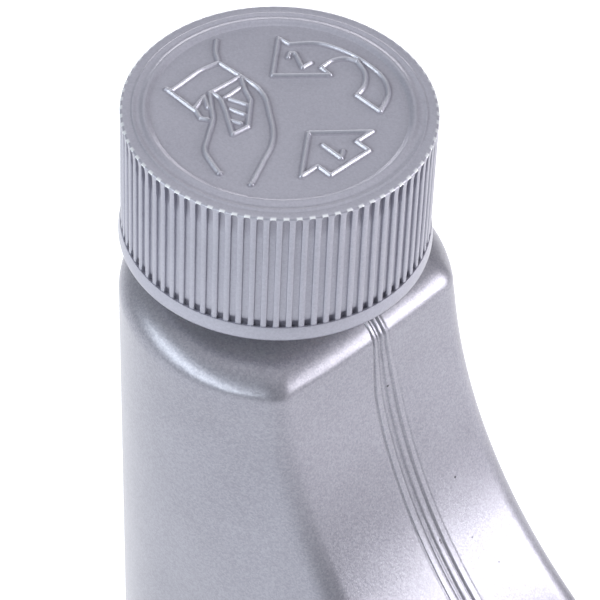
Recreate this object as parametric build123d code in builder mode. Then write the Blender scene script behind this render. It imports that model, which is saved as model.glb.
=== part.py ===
"""Descaler bottle with an offset neck and a push-and-turn closure.

Millimetres, +Z up. The base stands on z = 0 and the origin is under the middle of the bottle's
bounding box. The flared side faces +X, and the neck is towards -X.
"""

import os
from math import acos, asin, atan2, cos, hypot, pi, radians, sin, sqrt, tan

from build123d import *

# Heights, all measured up from the surface that the bottle stands on
total_height = 170.0
cap_height = 18.5
skirt_gap = 2.0
shoulder_top = total_height - cap_height - skirt_gap

# Body: a round back, and a narrow flat side that flares out below the shoulder
back_radius = 19.7
back_offset = 2.45
flare_top_reach = 16.4
flat_crown = 0.4
corner_radius = 3.5
corner_inset = 0.45
side_fullness = 0.36
body_wall = 1.2

# Shoulder and base roundings
shoulder_round = 5.6
base_round = 3.0
standing_ring = 5.0
push_up = 1.5
push_up_slope = 1.2

# Flare: a steep start, a hollow arc, a short ramp and the hip's arc into the upright side
flare_start_angle = 12.5
flare_start_drop = 3.7
flare_radius = 55.3
flare_end_angle = 56.0
ramp_drop = 1.5
hip_radius = 14.0

# Facets of each rounding, outside and in the cavity: base, hip, hollow arc and shoulder
outer_steps = (2, 3, 6, 5)
cavity_steps = (2, 2, 6, 2)

# Neck finish
thread_room = 1.5
neck_wall = 1.9
lip_chamfer = 0.4
neck_bead_proud = 0.9
neck_bead_height = 1.2
neck_bead_lift = 2.6

# Closure, outer shell
rib_radius = 17.75
band_proud = 0.3
band_top_proud = 0.1
band_height = 1.9
band_edge = 0.25
rib_draft = 0.15
rib_depth = 0.5
rib_count = 79
rib_share = 0.52
rim_bevel = 0.5
bead_ring_inset = 2.85
bead_width = 1.1
bead_top_width = 0.4
rim_drop = 0.2
disc_drop = 0.2
top_wall = 1.7
skirt_wall = 1.25

# How far the closure is turned on the neck, anticlockwise from above, in degrees
closure_turn = -0.48

# Push-and-turn clutch between the two closure shells
press_travel = 1.0
clutch_clearance = 0.3
clutch_teeth = 8
tooth_width = 4.4
tooth_ramp = 1.6
tooth_inset = 1.35
tooth_length = 3.7
lug_width = 3.0
lug_height = 1.2
finger_count = 4
finger_inset = 2.2
finger_length = 5.0
finger_width = 2.4
finger_thickness = 0.7

# Closure, inner shell
shell_clearance = 0.75
inner_shell_wall = 1.15
inner_top_wall = 1.3
flange_proud = 0.45
flange_height = 0.9
snap_clearance = 0.3
snap_ring_height = 0.8
snap_ring_lift = 0.9
inner_skirt_lift = 0.5

# Sealing liner
liner_thickness = 1.0
liner_clearance = 0.3

# Radii of the closure and of the neck inside it, from the ribs inwards
band_radius = rib_radius + band_proud
bead_ring_radius = rib_radius - bead_ring_inset
shell_bore_radius = rib_radius - rib_depth - skirt_wall
inner_shell_radius = shell_bore_radius - shell_clearance
flange_radius = inner_shell_radius + flange_proud
snap_ring_radius = inner_shell_radius + snap_clearance
inner_bore_radius = inner_shell_radius - inner_shell_wall
liner_radius = inner_bore_radius - liner_clearance
tooth_outer_radius = inner_shell_radius - tooth_inset
tooth_inner_radius = tooth_outer_radius - tooth_length
finger_outer_radius = tooth_inner_radius - finger_inset
finger_inner_radius = finger_outer_radius - finger_length
neck_radius = inner_bore_radius - thread_room
neck_bore_radius = neck_radius - neck_wall
neck_bead_radius = neck_radius + neck_bead_proud

# The neck axis, placed so that the bottle's box is centred on the origin
flare_arc_drop = flare_radius * (sin(radians(flare_end_angle)) - sin(radians(flare_start_angle)))
flare_arc_run = flare_radius * (cos(radians(flare_start_angle)) - cos(radians(flare_end_angle)))
flare_start_run = flare_start_drop * tan(radians(flare_start_angle))
ramp_run = ramp_drop * tan(radians(flare_end_angle))
hip_drop = hip_radius * sin(radians(flare_end_angle))
hip_run = hip_radius * (1 - cos(radians(flare_end_angle)))
body_reach = flare_top_reach + flare_start_run + flare_arc_run + ramp_run + hip_run
back_reach = max(band_radius, back_radius - back_offset)
neck_x = (back_reach - body_reach) / 2

# Heights of the flare's stretches, from the shoulder's rounding down
flare_top = shoulder_top - shoulder_round
hollow_top = flare_top - flare_start_drop
ramp_top = hollow_top - flare_arc_drop
hip_top = ramp_top - ramp_drop
hip_foot = hip_top - hip_drop
cavity_floor = push_up + body_wall

# The raised panel under the base, inside the ring that the bottle stands on
ring_inset = base_round + standing_ring
body_back = neck_x + back_offset - back_radius
panel_x = (neck_x + body_reach + body_back) / 2
panel_length = neck_x + body_reach - body_back - 2 * ring_inset
panel_width = 2 * (back_radius - ring_inset)

# Heights of the closure's parts, from its top down
cap_foot = total_height - cap_height
disc_level = total_height - disc_drop
rim_level = total_height - rim_drop
shell_ceiling = disc_level - top_wall
lug_foot = shell_ceiling - lug_height
tooth_top = lug_foot - clutch_clearance
inner_top = tooth_top - press_travel
inner_ceiling = inner_top - inner_top_wall
lip_level = inner_ceiling - liner_thickness
inner_foot = cap_foot + inner_skirt_lift
snap_ring_foot = cap_foot + snap_ring_lift
snap_ring_top = snap_ring_foot + snap_ring_height
flange_foot = snap_ring_top + snap_clearance
band_top = cap_foot + band_height
neck_foot = shoulder_top - body_wall
neck_bead_foot = shoulder_top + neck_bead_lift


def flare_profile(hip_steps, hollow_steps):
    """Height, distance from the neck axis and lean of the flat side, from the hip's foot up."""
    profile = []
    for step in range(hip_steps + 1):
        lean = radians(flare_end_angle) * step / hip_steps
        reach = body_reach - hip_radius * (1 - cos(lean))
        profile.append((hip_foot + hip_radius * sin(lean), reach, lean))
    for step in range(hollow_steps + 1):
        share = 1 - step / hollow_steps
        lean = radians(flare_start_angle + (flare_end_angle - flare_start_angle) * share)
        drop = flare_radius * (sin(lean) - sin(radians(flare_start_angle)))
        run = flare_radius * (cos(radians(flare_start_angle)) - cos(lean))
        profile.append((hollow_top - drop, flare_top_reach + flare_start_run + run, lean))
    profile.append((flare_top, flare_top_reach, 0))
    return profile


def corner_offset(reach, radius):
    """A corner's centre, out from the middle plane, with its arc a little inside the round back."""
    run = reach - flat_crown - corner_radius - back_offset
    return sqrt((radius - corner_radius) ** 2 - run**2) - corner_inset


body_corner = corner_offset(flare_top_reach, back_radius)


def level_section(height, reach, radius, centre_y, wall=0.0):
    """One level section of the body: round back, full sides, rounded corners and the crowned flat."""
    back_x = neck_x + back_offset
    crown_radius = (centre_y**2 + flat_crown**2) / (2 * flat_crown)
    lean = asin(centre_y / (crown_radius - corner_radius))
    centre_x = neck_x + reach - crown_radius + (crown_radius - corner_radius) * cos(lean)
    corner = corner_radius - wall
    away = (centre_x - back_x, centre_y)
    distance = hypot(away[0], away[1])
    turn = atan2(away[1], away[0]) + acos(min(1.0, (radius - corner_radius) / distance))
    middle = (lean + turn) / 2
    flat_end = (centre_x + corner * cos(lean), centre_y + corner * sin(lean))
    corner_middle = (centre_x + corner * cos(middle), centre_y + corner * sin(middle))
    side_end = (centre_x + corner * cos(turn), centre_y + corner * sin(turn))
    side_start = (back_x, radius - wall)
    handle = side_fullness * hypot(side_end[0] - side_start[0], side_end[1] - side_start[1])
    handle_1 = (side_start[0] + handle, side_start[1])
    handle_2 = (side_end[0] - handle * sin(turn), side_end[1] + handle * cos(turn))
    half = [flat_end, corner_middle, side_end, handle_2, handle_1, side_start]
    other = [(x, -y) for x, y in half]
    with BuildSketch(Plane.XY.offset(height)) as section:
        with BuildLine():
            ThreePointArc(other[0], (neck_x + reach - wall, 0), half[0])
            ThreePointArc(half[0], half[1], half[2])
            Bezier(half[2], half[3], half[4], half[5])
            ThreePointArc(half[5], (back_x - (radius - wall), 0), other[5])
            Bezier(other[5], other[4], other[3], other[2])
            ThreePointArc(other[2], other[1], other[0])
        make_face()
    return section.sketch


def foot_sections(floor, steps, wall):
    """Level sections of the base's rounding, up to where the sides are upright."""
    sections = []
    for step in range(steps + 1):
        turn = pi / 2 * step / steps
        height = floor + (base_round - wall) * (1 - cos(turn))
        inset = (base_round - wall) * (1 - sin(turn))
        corner_y = body_corner - inset
        sections.append(level_section(height, body_reach - inset, back_radius - inset, corner_y, wall))
    return sections


def flare_sections(hip_steps, hollow_steps, wall):
    """Level sections from the hip up to the shoulder's rounding."""
    sections = []
    for height, reach, lean in flare_profile(hip_steps, hollow_steps):
        thinned = wall / cos(lean) - wall
        sections.append(level_section(height, reach - thinned, back_radius, body_corner, wall))
    return sections


def shoulder_sections(steps, wall):
    """Level sections of the shoulder's rounding, which the wall follows at its full thickness."""
    sections = []
    for step in range(1, steps + 1):
        turn = pi / 2 * step / steps
        height = flare_top + (shoulder_round - wall) * sin(turn)
        inset = (shoulder_round - wall) * (1 - cos(turn))
        reach = flare_top_reach - inset
        radius = back_radius - inset
        sections.append(level_section(height, reach, radius, corner_offset(reach, radius), wall))
    return sections


def blown_form(floor, facets, wall=0.0):
    """The blown body's form one wall inside its outside, as flat-sided bands between its sections."""
    base, hip, hollow, shoulder = facets
    sections = foot_sections(floor, base, wall)
    sections += flare_sections(hip, hollow, wall)
    sections += shoulder_sections(shoulder, wall)
    with BuildPart() as form:
        loft(sections, ruled=True)
    return form.part


# Blown body of the bottle, with the opening that its neck stands in
with BuildPart() as bottle:
    add(blown_form(0.0, outer_steps))
    add(blown_form(cavity_floor, cavity_steps, body_wall), mode=Mode.SUBTRACT)
    with BuildSketch(Plane.XY.offset(neck_foot)):
        with Locations((neck_x, 0)):
            Circle(neck_radius)
    extrude(amount=2 * body_wall, mode=Mode.SUBTRACT)
    with BuildSketch():
        with Locations((panel_x, 0)):
            SlotOverall(panel_length, panel_width)
    with BuildSketch(Plane.XY.offset(push_up)):
        with Locations((panel_x, 0)):
            SlotOverall(panel_length - 2 * push_up_slope, panel_width - 2 * push_up_slope)
    loft(ruled=True, mode=Mode.SUBTRACT)

bottle.part.label = "bottle"

# Neck of the bottle, with the bead under its thread
with BuildPart() as bottle_neck:
    with BuildSketch(Plane.XZ):
        with BuildLine():
            Polyline(
                (neck_x + neck_bore_radius, neck_foot),
                (neck_x + neck_radius, neck_foot),
                (neck_x + neck_radius, neck_bead_foot),
                (neck_x + neck_bead_radius, neck_bead_foot),
                (neck_x + neck_bead_radius, neck_bead_foot + neck_bead_height),
                (neck_x + neck_radius, neck_bead_foot + neck_bead_height),
                (neck_x + neck_radius, lip_level - lip_chamfer),
                (neck_x + neck_radius - lip_chamfer, lip_level),
                (neck_x + neck_bore_radius, lip_level),
                close=True,
            )
        make_face()
    revolve(axis=Axis((neck_x, 0, 0), (0, 0, 1)))

bottle_neck.part.label = "bottle_neck"

# Drive lug and return finger of the outer shell, drawn once on the +X side
with BuildPart() as lug:
    with BuildSketch(Plane.YZ.offset(neck_x + tooth_inner_radius)):
        with BuildLine():
            Polyline(
                (-lug_width / 2, shell_ceiling),
                (lug_width / 2, shell_ceiling),
                (lug_width / 2, lug_foot),
                (-lug_width / 2 + lug_height / 2, lug_foot),
                close=True,
            )
        make_face()
    extrude(amount=tooth_outer_radius - tooth_inner_radius)

with BuildPart() as finger:
    with BuildSketch(Plane.XZ.offset(-finger_width / 2)):
        with BuildLine():
            Polyline(
                (neck_x + finger_inner_radius, shell_ceiling),
                (neck_x + finger_inner_radius + finger_thickness * 2, shell_ceiling),
                (neck_x + finger_outer_radius, lug_foot + finger_thickness),
                (neck_x + finger_outer_radius, lug_foot),
                (neck_x + finger_outer_radius - finger_thickness, lug_foot),
                close=True,
            )
        make_face()
    extrude(amount=finger_width)

# Ratchet tooth of the inner shell: one upright driving face and one ramp
with BuildPart() as tooth:
    with BuildSketch(Plane.YZ.offset(neck_x + tooth_inner_radius)):
        with BuildLine():
            Polyline(
                (-tooth_width / 2, inner_top),
                (tooth_width / 2, inner_top),
                (tooth_width / 2, tooth_top),
                (-tooth_width / 2 + tooth_ramp, tooth_top),
                close=True,
            )
        make_face()
    extrude(amount=tooth_outer_radius - tooth_inner_radius)

# One groove between two ribs, cut from the band's top up to the bevel of the rim
groove_slope = pi * rib_radius / rib_count * (1 - rib_share) / rib_depth
groove_mouth = groove_slope * (rib_depth + band_proud)

with BuildPart() as groove:
    with BuildSketch(Plane.XY.offset(band_top)):
        with BuildLine():
            Polyline(
                (neck_x + rib_radius - rib_depth, 0),
                (neck_x + band_radius, -groove_mouth),
                (neck_x + band_radius, groove_mouth),
                close=True,
            )
        make_face()
    extrude(amount=rim_level - rim_bevel - band_top)

# Outer shell of the closure, with its ribs, band, ring beads, lugs and return fingers
with BuildPart() as outer_cap:
    with BuildSketch(Plane.XZ):
        with BuildLine():
            Polyline(
                (neck_x, shell_ceiling),
                (neck_x, disc_level),
                (neck_x + bead_ring_radius - bead_width / 2, disc_level),
                (neck_x + bead_ring_radius - bead_top_width / 2, total_height),
                (neck_x + bead_ring_radius + bead_top_width / 2, total_height),
                (neck_x + bead_ring_radius + bead_width / 2, rim_level),
                (neck_x + rib_radius - rib_draft - rim_bevel, rim_level),
                (neck_x + rib_radius - rib_draft, rim_level - rim_bevel),
                (neck_x + rib_radius, band_top),
                (neck_x + rib_radius + band_top_proud, band_top),
                (neck_x + band_radius, cap_foot + band_edge),
                (neck_x + band_radius - band_edge, cap_foot),
                (neck_x + shell_bore_radius, cap_foot),
                (neck_x + shell_bore_radius, snap_ring_foot),
                (neck_x + snap_ring_radius, snap_ring_foot + snap_ring_height / 3),
                (neck_x + snap_ring_radius, snap_ring_top - snap_ring_height / 3),
                (neck_x + shell_bore_radius, snap_ring_top),
                (neck_x + shell_bore_radius, shell_ceiling),
                close=True,
            )
        make_face()
    revolve(axis=Axis((neck_x, 0, 0), (0, 0, 1)))
    with Locations((neck_x, 0, 0)):
        with PolarLocations(0, rib_count, closure_turn):
            add(groove.part.moved(Location((-neck_x, 0, 0))), mode=Mode.SUBTRACT)
    with Locations((neck_x, 0, 0)):
        with PolarLocations(0, clutch_teeth):
            add(lug.part.moved(Location((-neck_x, 0, 0))))
    with Locations((neck_x, 0, 0)):
        with PolarLocations(0, finger_count):
            add(finger.part.moved(Location((-neck_x, 0, 0))))

outer_cap.part.label = "outer_cap"

# Inner shell of the closure: the threaded part, with the ratchet ring and the retaining flange
half_pitch = 180.0 / clutch_teeth

with BuildPart() as inner_cap:
    with BuildSketch(Plane.XZ):
        with BuildLine():
            Polyline(
                (neck_x, inner_ceiling),
                (neck_x, inner_top),
                (neck_x + inner_shell_radius, inner_top),
                (neck_x + inner_shell_radius, flange_foot + flange_height),
                (neck_x + flange_radius, flange_foot + flange_height / 2),
                (neck_x + flange_radius, flange_foot),
                (neck_x + inner_shell_radius, flange_foot),
                (neck_x + inner_shell_radius, inner_foot),
                (neck_x + inner_bore_radius, inner_foot),
                (neck_x + inner_bore_radius, inner_ceiling),
                close=True,
            )
        make_face()
    revolve(axis=Axis((neck_x, 0, 0), (0, 0, 1)))
    with Locations((neck_x, 0, 0)):
        with PolarLocations(0, clutch_teeth, half_pitch):
            add(tooth.part.moved(Location((-neck_x, 0, 0))))

inner_cap.part.label = "inner_cap"

# Sealing liner: a loose disc of foam between the inner shell and the neck's lip
with BuildPart() as liner:
    with BuildSketch(Plane.XY.offset(lip_level)):
        with Locations((neck_x, 0)):
            Circle(liner_radius)
    extrude(amount=liner_thickness)

liner.part.label = "liner"

os.makedirs("parts", exist_ok=True)
export_step(bottle.part, "parts/bottle.step")
export_step(bottle_neck.part, "parts/bottle_neck.step")
export_step(outer_cap.part, "parts/outer_cap.step")
export_step(inner_cap.part, "parts/inner_cap.step")
export_step(liner.part, "parts/liner.step")
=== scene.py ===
"""Dressed model of the descaler bottle, with its camera, light and floor.

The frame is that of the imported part: +Z is up, the neck axis lies towards -X, the flared side faces
+X, and the mould's parting plane is y = 0. Sizes are in millimetres and become metres in the last
step of each mesh. Heights are above the ground, and points of a level section are taken from the
neck axis.
"""

from math import acos, asin, atan2, cos, hypot, pi, radians, sin, sqrt, tan

import bpy
import numpy as np
from mathutils import Matrix, Vector


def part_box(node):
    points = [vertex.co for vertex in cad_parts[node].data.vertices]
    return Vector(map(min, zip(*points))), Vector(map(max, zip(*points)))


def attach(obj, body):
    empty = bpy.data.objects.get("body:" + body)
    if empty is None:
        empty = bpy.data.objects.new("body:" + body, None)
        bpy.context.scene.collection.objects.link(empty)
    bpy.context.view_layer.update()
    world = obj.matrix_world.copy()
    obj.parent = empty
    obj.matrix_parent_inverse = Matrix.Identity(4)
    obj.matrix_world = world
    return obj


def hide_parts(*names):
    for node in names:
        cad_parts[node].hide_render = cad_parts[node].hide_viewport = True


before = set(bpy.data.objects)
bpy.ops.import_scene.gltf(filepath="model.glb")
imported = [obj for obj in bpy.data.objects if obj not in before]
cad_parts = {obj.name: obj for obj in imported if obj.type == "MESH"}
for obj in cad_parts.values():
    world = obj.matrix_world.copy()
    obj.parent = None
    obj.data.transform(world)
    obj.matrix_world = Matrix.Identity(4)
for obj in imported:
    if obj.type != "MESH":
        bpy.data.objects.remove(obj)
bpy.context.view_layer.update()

MM = 0.001


def node_box(node):
    """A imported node's lowest and highest corners in millimetres."""
    low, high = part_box(node)
    return Vector(low) / MM, Vector(high) / MM


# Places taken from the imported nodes
cap_low, cap_high = node_box("outer_cap")
inner_low, inner_high = node_box("inner_cap")
bottle_low, bottle_high = node_box("bottle")
neck_x = (cap_low.x + cap_high.x) / 2
total_height = cap_high.z
cap_foot = cap_low.z
lip_level = node_box("liner")[0].z
body_reach = bottle_high.x - neck_x
body_back = bottle_low.x - neck_x
back_radius = (bottle_high.y - bottle_low.y) / 2
inner_foot = inner_low.z
tooth_top = inner_high.z

# Body. Its shoulder has a tight edge, a flatter crown and a slope, which end at shares of the way in.
back_offset = 2.45
flat_crown = 0.4
corner_radius = 3.5
corner_inset = 0.45
side_fullness = 0.36
body_wall = 1.2
skirt_gap = 2.0
shoulder_round = 5.6
shoulder_edge_back = 3.0
shoulder_edge_front = 2.2
shoulder_edge_bend = radians(36.0)
shoulder_crown_radius = 6.0
shoulder_slope = radians(80.0)
shoulder_run = 6.4
shoulder_edge_share = 0.3
shoulder_crown_share = 0.81
edge_change_start = -2.0
edge_change_end = 13.0
base_round = 3.0
standing_ring = 5.0
push_up = 1.5
push_up_slope = 1.2
flare_top_reach = 16.4
flare_start_angle = radians(12.5)
flare_start_drop = 3.7
flare_radius = 55.3
flare_end_angle = radians(56.0)
ramp_drop = 1.5
hip_radius = 14.0

shoulder_top = cap_foot - skirt_gap
flare_top = shoulder_top - shoulder_round
hollow_top = flare_top - flare_start_drop
ramp_top = hollow_top - flare_radius * (sin(flare_end_angle) - sin(flare_start_angle))
hip_top = ramp_top - ramp_drop
hip_foot = hip_top - hip_radius * sin(flare_end_angle)
flare_start_run = flare_start_drop * tan(flare_start_angle)
flare_arc_run = flare_radius * (cos(flare_start_angle) - cos(flare_end_angle))

# Neck finish
neck_radius = 12.6
neck_bore_radius = 10.7
neck_foot_round = 0.9
neck_bead_radius = 13.5
neck_bead_foot = shoulder_top + 2.6
neck_bead_height = 1.2
neck_bead_fillet = 0.05
neck_bead_bevel = 0.1
neck_bead_slope = 0.25
thread_pitch = 4.233
thread_turns = 1.6
thread_foot = neck_bead_foot + 4.2
neck_thread_depth = 0.95
thread_crest_width = 0.9
thread_root_width = 2.3
thread_fade_turns = 1 / 9
thread_margin = 0.4
lip_round = 0.4
lip_bevel = 0.12

# Parting strip on the flat side and on the back: distance across, and height, of each of its steps. The
# front one narrows between two heights about one of its grooves, and fades out over the shoulder.
PARTING_FRONT = [
    (-1.15, 0.0), (-0.98, -0.09), (-0.84, -0.15), (-0.66, 0.03), (-0.45, 0.0), (-0.1, -0.02), (0.15, -0.12),
    (0.32, -0.04), (0.5, -0.06), (0.7, -0.22), (0.9, -0.2), (1.08, -0.04), (1.35, -0.02), (1.7, -0.04),
    (1.92, -0.16), (2.12, -0.02), (2.3, 0.06), (2.5, 0.03), (2.75, 0.0), (2.95, -0.05), (3.2, 0.0),
]
strip_pivot = 1.92
strip_shift = 0.25
strip_top_width = 0.6
strip_narrow_start = 136.0
strip_narrow_end = 146.0
strip_fade_share = 0.25
strip_shoulder_x = 8.0
strip_body_depth = 2.0
PARTING_BACK = [(-0.9, 0.0), (-0.7, -0.09), (-0.45, -0.03), (0.0, 0.0), (0.25, -0.14), (0.6, 0.0)]

# Columns and rows of the bottle's grid of points
strip_margin = 0.12
strip_edge_low = PARTING_FRONT[0][0] - strip_margin
strip_edge_high = PARTING_FRONT[-1][0] + strip_shift + strip_margin
strip_columns = 46
flat_columns = 8
corner_columns = 12
side_columns = 18
back_columns = 26
back_strip_columns = 18
back_strip_half = 1.1
base_rows = 8
upright_rows = 14
flare_rows = 72
shoulder_steps = 48
shoulder_rows = 34
inner_shoulder_rows = 8
neck_foot_rows = 5
neck_thread_rows = 44

# Outer shell of the closure
closure_turn = radians(-0.48)
rib_count = 79
rib_radius = 17.75
rib_draft = 0.15
groove_half_mouth = 0.275
groove_wall_share = 0.055
groove_arch = 0.5
groove_pocket = 0.2
groove_below_end = 9.0
rib_crown = 0.09
crown_run = 1.2
# Painted highlight along the ribs' edges by the grooves: its place, width and strength
rib_edge_offset = 0.02
rib_edge_width = 0.05
rib_edge_highlight = 0.12
dash_proud = 0.08
dash_height = 0.3
dash_drop = 0.1
dash_edge = 0.1
dash_strength = 1.3
rim_bevel = 0.3
groove_start = 0.16
rim_drop = 0.2
disc_drop = 0.2
disc_sink = 0.2
band_radius = 18.05
band_top_radius = 17.85
band_height = 1.9
shell_bore_radius = 16.0
top_wall = 1.7
snap_ring_radius = 15.55
snap_ring_lift = 0.9
snap_ring_height = 0.8
press_travel = 1.0

# Inner shell of the closure, clutch and return fingers
inner_shell_radius = 15.25
inner_bore_radius = 14.1
inner_top_wall = 1.3
flange_radius = 15.7
flange_height = 0.9
flange_foot = cap_foot + snap_ring_lift + snap_ring_height + 0.3
inner_top = tooth_top - press_travel
inner_thread_depth = 0.95
clutch_teeth = 8
tooth_inner_radius = 10.2
tooth_outer_radius = 13.9
tooth_width = 4.4
tooth_ramp = 1.6
lug_width = 3.0
lug_height = 1.2
finger_count = 4
finger_inner_radius = 3.0
finger_outer_radius = 8.0
finger_width = 2.4
finger_thickness = 0.7
inner_columns = 144
inner_thread_rows = 50

band_top = cap_foot + band_height
disc_level = total_height - disc_drop
rim_level = total_height - rim_drop
shell_ceiling = disc_level - top_wall

# Columns of one rib's pitch, as shares of it from the middle of a groove
RIB_COLUMNS = [0.0, 0.1, 0.16, 0.2, 0.225, 0.25, 0.275, 0.34, 0.5, 0.66, 0.725, 0.75, 0.775, 0.8, 0.84, 0.9]

# Rows of the ribbed wall, as drops below the rounding of the rim
RIB_DROPS = [0.04, 0.1, 0.17, 0.25, 0.34, 0.45, 0.6, 0.9, 1.6, 2.2, 2.7, 3.2]
RIB_DROPS += [6.0, 9.0, 12.0, 14.5, 15.3, 15.5, 15.65]

# Top of the closure from the disc's edge out to the smooth rim: radius, and height over the rim
RIM_STEPS = [
    (13.95, -0.27), (14.25, -0.2), (14.38, -0.13), (14.55, 0.02), (14.72, 0.14), (14.86, 0.193), (14.97, 0.2),
    (15.07, 0.188), (15.2, 0.14), (15.35, 0.075), (15.5, 0.02), (15.62, 0.0), (15.85, 0.005), (16.0, 0.05),
    (16.12, 0.09), (16.22, 0.1), (16.3, 0.08), (16.37, 0.03), (16.45, -0.01), (16.56, 0.0), (16.8, 0.0),
]
rim_rows = 6

# Depth of a groove, and its painted shade (darkest under the rim and in the notch at its foot), at distances
# below its top end
GROOVE_DEPTHS = [(0.0, 0.5), (2.2, 0.5), (3.2, 0.38), (15.5, 0.32), (15.75, 0.46), (30.0, 0.46)]
GROOVE_PAINTED_SHADE = [(0.0, -0.75), (1.8, -0.7), (3.2, -0.2), (15.4, -0.15), (15.7, -0.9), (30.0, -0.9)]

# Raised pictogram, as distances from the neck axis along X and Y before its scale and shift
RELIEF_LINES = [
    [(-11.2, -7.0), (-6.2, -7.0)],
    [(-10.7, 0.5), (-7.3, 0.8)],
    [(-7.3, 0.8), (-7.5, -3.7)],
    [(-2.3, 8.7), (-0.7, 8.6), (-5.0, 3.6), (-9.3, 8.6), (-7.7, 8.8)],
    [(7.5, 8.5), (3.8, 8.4)],
    [(4.7, 0), (9.3, -5.5), (9.3, -3.0), (11.3, -3.0), (11.3, 3.0), (9.3, 3.0), (9.3, 5.5), (4.7, 0)],
    [(7.2, -0.2), (10.1, -0.2), (9.4, 0.8)],
    [(-6.1, 7.1), (-6.5, 7.7), (-6.1, 8.2), (-5.2, 7.8), (-3.7, 7.1), (-3.7, 8.4)],
    [(-6.7, -6.9), (-7.5, -4.6), (-5.8, -5.6)],
    [(-6.2, -7.0), (-5.0, -7.4), (-4.3, -6.9)],
    [(-0.7, -6.5), (-0.5, -4.4), (-3.6, -1.1), (-5.3, -0.4), (-6.8, 0.5)],
    [(-5.8, -3.2), (-5.9, -0.6)],
    [(-5.2, -2.8), (-3.3, -2.0)],
    [(-4.0, -3.9), (-2.2, -3.3)],
    [(-2.4, -5.1), (-1.4, -4.6)],
]
RELIEF_CURVES = [
    [(-10.7, 0.5), (-11.1, -1.8), (-11.0, -3.6), (-10.8, -5.4), (-10.7, -7.0)],
    [(-13.7, 2.9), (-12.3, 1.5), (-11.0, 0.7)],
    [(-7.5, -3.8), (-5.7, -5.2), (-4.0, -6.5), (-2.4, -8.6), (-0.8, -10.6), (1.2, -11.4), (3.0, -11.9)],
    [
        (-7.1, 0.8), (-4.6, 0.9), (-2.6, 0.3), (-0.6, -1.0),
        (1.7, -2.6), (3.4, -4.4), (4.8, -7.0), (6.6, -10.5),
    ],
    [(-7.4, -3.7), (-6.2, -3.5), (-4.6, -4.2), (-2.9, -5.2), (-0.7, -6.5)],
    [(-7.7, 8.8), (-5.6, 11.4), (-2.6, 12.7), (0.4, 13.1), (3.6, 12.8), (6.1, 11.2), (7.5, 8.5)],
    [(3.8, 8.4), (3.2, 10.2), (1.7, 11.8), (-0.4, 12.6)],
    [(-0.4, 12.6), (-1.7, 11.8), (-2.4, 10.4), (-2.3, 8.7)],
]
RELIEF_KNOBS = [(-11.2, -7.0), (3.0, -11.9), (6.6, -10.5)]
relief_height = 0.38
relief_reach = 0.37
knob_radius = 0.52
knob_height = 0.395
relief_cell = 0.105
relief_scale = 0.978
relief_shift = (0.3, -0.31)
relief_edge = 14.4
# Painted highlight on the raised lines' tops: its reach and strength; then the width of the painted shade
# round their feet
relief_highlight_reach = 0.22
relief_highlight_strength = 0.3
relief_painted_shade_width = 0.16

# Dark specks on the body: place from the neck axis, and radius
SPECKS = [
    ((24.35, 7.45, 122.5), 0.2), ((28.94, 6.25, 116.3), 0.16), ((32.07, 8.09, 112.9), 0.14),
    ((17.8, 1.45, 137.8), 0.2), ((27.6, 1.93, 118.1), 0.22), ((27.75, 1.9, 117.8), 0.18),
]
speck_core = 0.6
SPECK_COLOUR = (0.07, 0.065, 0.08)

# Pigment, clouds and skin of the grey plastics: features per metre, shares of colour, depths in metres
flake_scale = 5200.0
flake_depth = 0.00005
flake_bump = 0.6
cloud_scale = 90.0
cloud_detail = 3.0
cloud_share = 0.35
cloud_depth = 0.0006
cloud_bump = 0.12
skin_scale = 2600.0
skin_detail = 4.0
skin_fineness = 0.65
skin_share = 0.4
skin_depth = 0.00008
rough_below = 0.05
rough_above = 0.06
# Painted highlight colour, painted shade colour and the painted shade's strength for the closure
PAINTED_HIGHLIGHT_COLOUR = (0.86, 0.88, 0.92)
PAINTED_SHADE_COLOUR = (0.1, 0.09, 0.13)
painted_shade_strength = 0.45

# Clouds and grain of the plain plastics
plain_cloud_scale = 220.0
plain_grain_scale = 3200.0
plain_grain_depth = 0.00015
plain_rough_spread = 0.06

# Stretches of mixed pigment, and of noise, that the ramps spread out
COLOUR_RANGE = (0.45, 1.15)
GRAIN_RANGE = (0.3, 0.7)

# Camera, as fitted to the photograph: place from the middle of the closure's top, and angles in degrees
camera_lens = 162.0
camera_sensor = 36.0
camera_place = Vector((156.381, -157.498, 198.046))
camera_azimuth = -46.0300
camera_rise = 45.8164
camera_roll = 2.6847

# Soft boxes: name, azimuth and rise in degrees, width and height in metres, power and colour
LAMPS = [
    ("left_box", -102.0, 26.0, 1.3, 0.2, 6.8, (0.89, 0.97, 1.0)),
    ("right_box", 42.0, 19.0, 0.55, 0.3, 5.4, (1.0, 0.98, 1.0)),
    ("back_box", 136.0, 10.0, 0.8, 0.2, 1.6, (1.0, 0.98, 1.0)),
    ("top_box", 120.0, 80.0, 1.4, 1.4, 4.4, (1.0, 0.98, 1.0)),
]
lamp_distance = 0.9
lamp_aim = 0.14
WORLD_COLOUR = (0.94, 0.97, 1.0, 1.0)
world_strength = 0.24
floor_half = 12.0
floor_glow = 0.62


def link_mesh(name, points, faces, sharp_angle):
    """A smooth-shaded mesh object from points in millimetres, with its sharp edges marked."""
    mesh = bpy.data.meshes.new(name)
    mesh.from_pydata([tuple(c * MM for c in point) for point in points], [], faces)
    mesh.validate()
    mesh.shade_smooth()
    mesh.set_sharp_from_angle(angle=radians(sharp_angle))
    thing = bpy.data.objects.new(name, mesh)
    bpy.context.scene.collection.objects.link(thing)
    return thing


def add_painted_light(thing, values):
    """Stores each point's painted light for its material: above nothing a painted highlight, below nothing
    painted shade.
    """
    painted_light = thing.data.attributes.new("painted_light", "FLOAT", "POINT")
    painted_light.data.foreach_set("value", values.astype(np.float32))


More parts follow.
